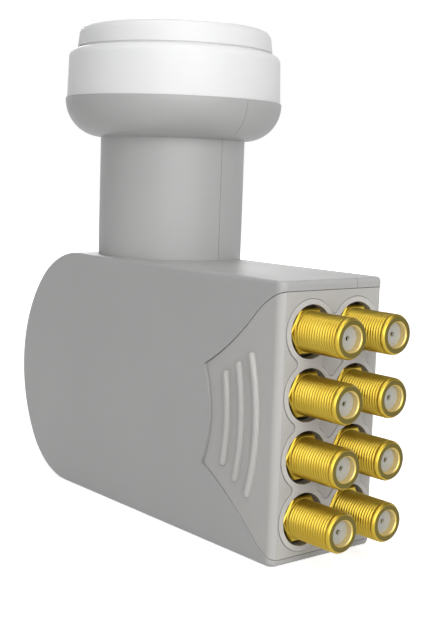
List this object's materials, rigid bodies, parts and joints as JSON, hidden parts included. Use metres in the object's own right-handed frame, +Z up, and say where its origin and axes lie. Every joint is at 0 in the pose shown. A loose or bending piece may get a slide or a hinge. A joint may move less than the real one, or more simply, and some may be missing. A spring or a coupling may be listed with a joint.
{
  "type": "satellite lnb",
  "caption": "Satellite receiver head: capped feed horn on a clamping neck above a boxy two-part weather housing, with a sliding port cover round a block of coaxial outputs.",
  "frame": {"origin": "on the axis of the clamping neck, in the plane of the housing's flat top", "axes": "+Z up the feed towards the cap, -Y towards the coaxial outputs, X across the housing; the housing lies mostly on the -X side of the neck"},
  "size_m": [0.0598, 0.1267, 0.1304],
  "materials": {
    "shell_plastic": "fine satin moulding texture",
    "cover_plastic": "fine satin moulding texture, lighter grey",
    "cap_plastic": "white, thin radome plastic",
    "gold_plate": "gold-plated, turned thread",
    "dielectric": "off-white insulator",
    "contact_metal": "plated spring contact",
    "cast_metal": "as cast",
    "lid_metal": "rolled sheet",
    "seal_rubber": "dull",
    "board_laminate": "solder-masked laminate",
    "chip_resin": "moulded resin",
    "screw_steel": "zinc-plated"
  },
  "bodies": {
    "receiver": {"feed_cap": "cap_plastic", "cap_seal": "seal_rubber", "left_shell": "shell_plastic", "right_shell": "shell_plastic", "shell_screws": "screw_steel", "chassis_casting": "cast_metal", "f_connector_1": "gold_plate", "insulator_1": "dielectric", "centre_contact_1": "contact_metal", "f_connector_2": "gold_plate", "insulator_2": "dielectric", "centre_contact_2": "contact_metal", "f_connector_3": "gold_plate", "insulator_3": "dielectric", "centre_contact_3": "contact_metal", "f_connector_4": "gold_plate", "insulator_4": "dielectric", "centre_contact_4": "contact_metal", "f_connector_5": "gold_plate", "insulator_5": "dielectric", "centre_contact_5": "contact_metal", "f_connector_6": "gold_plate", "insulator_6": "dielectric", "centre_contact_6": "contact_metal", "f_connector_7": "gold_plate", "insulator_7": "dielectric", "centre_contact_7": "contact_metal", "f_connector_8": "gold_plate", "insulator_8": "dielectric", "centre_contact_8": "contact_metal", "circuit_board_left": "board_laminate", "shield_lid_left": "lid_metal", "lid_gasket_left": "seal_rubber", "switch_chip_left": "chip_resin", "lid_screws_left": "screw_steel", "board_screws_left": "screw_steel", "circuit_board_right": "board_laminate", "shield_lid_right": "lid_metal", "lid_gasket_right": "seal_rubber", "switch_chip_right": "chip_resin", "lid_screws_right": "screw_steel", "board_screws_right": "screw_steel", "probe_across": "contact_metal", "probe_bead_across": "dielectric", "probe_along": "contact_metal", "probe_bead_along": "dielectric"},
    "cover": {"weather_cover": "cover_plastic"}
  },
  "joints": [
    {"name": "cover_slide", "type": "slide", "parent": "receiver", "child": "cover", "axis": [0, -1, 0], "range_m": [0, 0.016]}
  ]
}
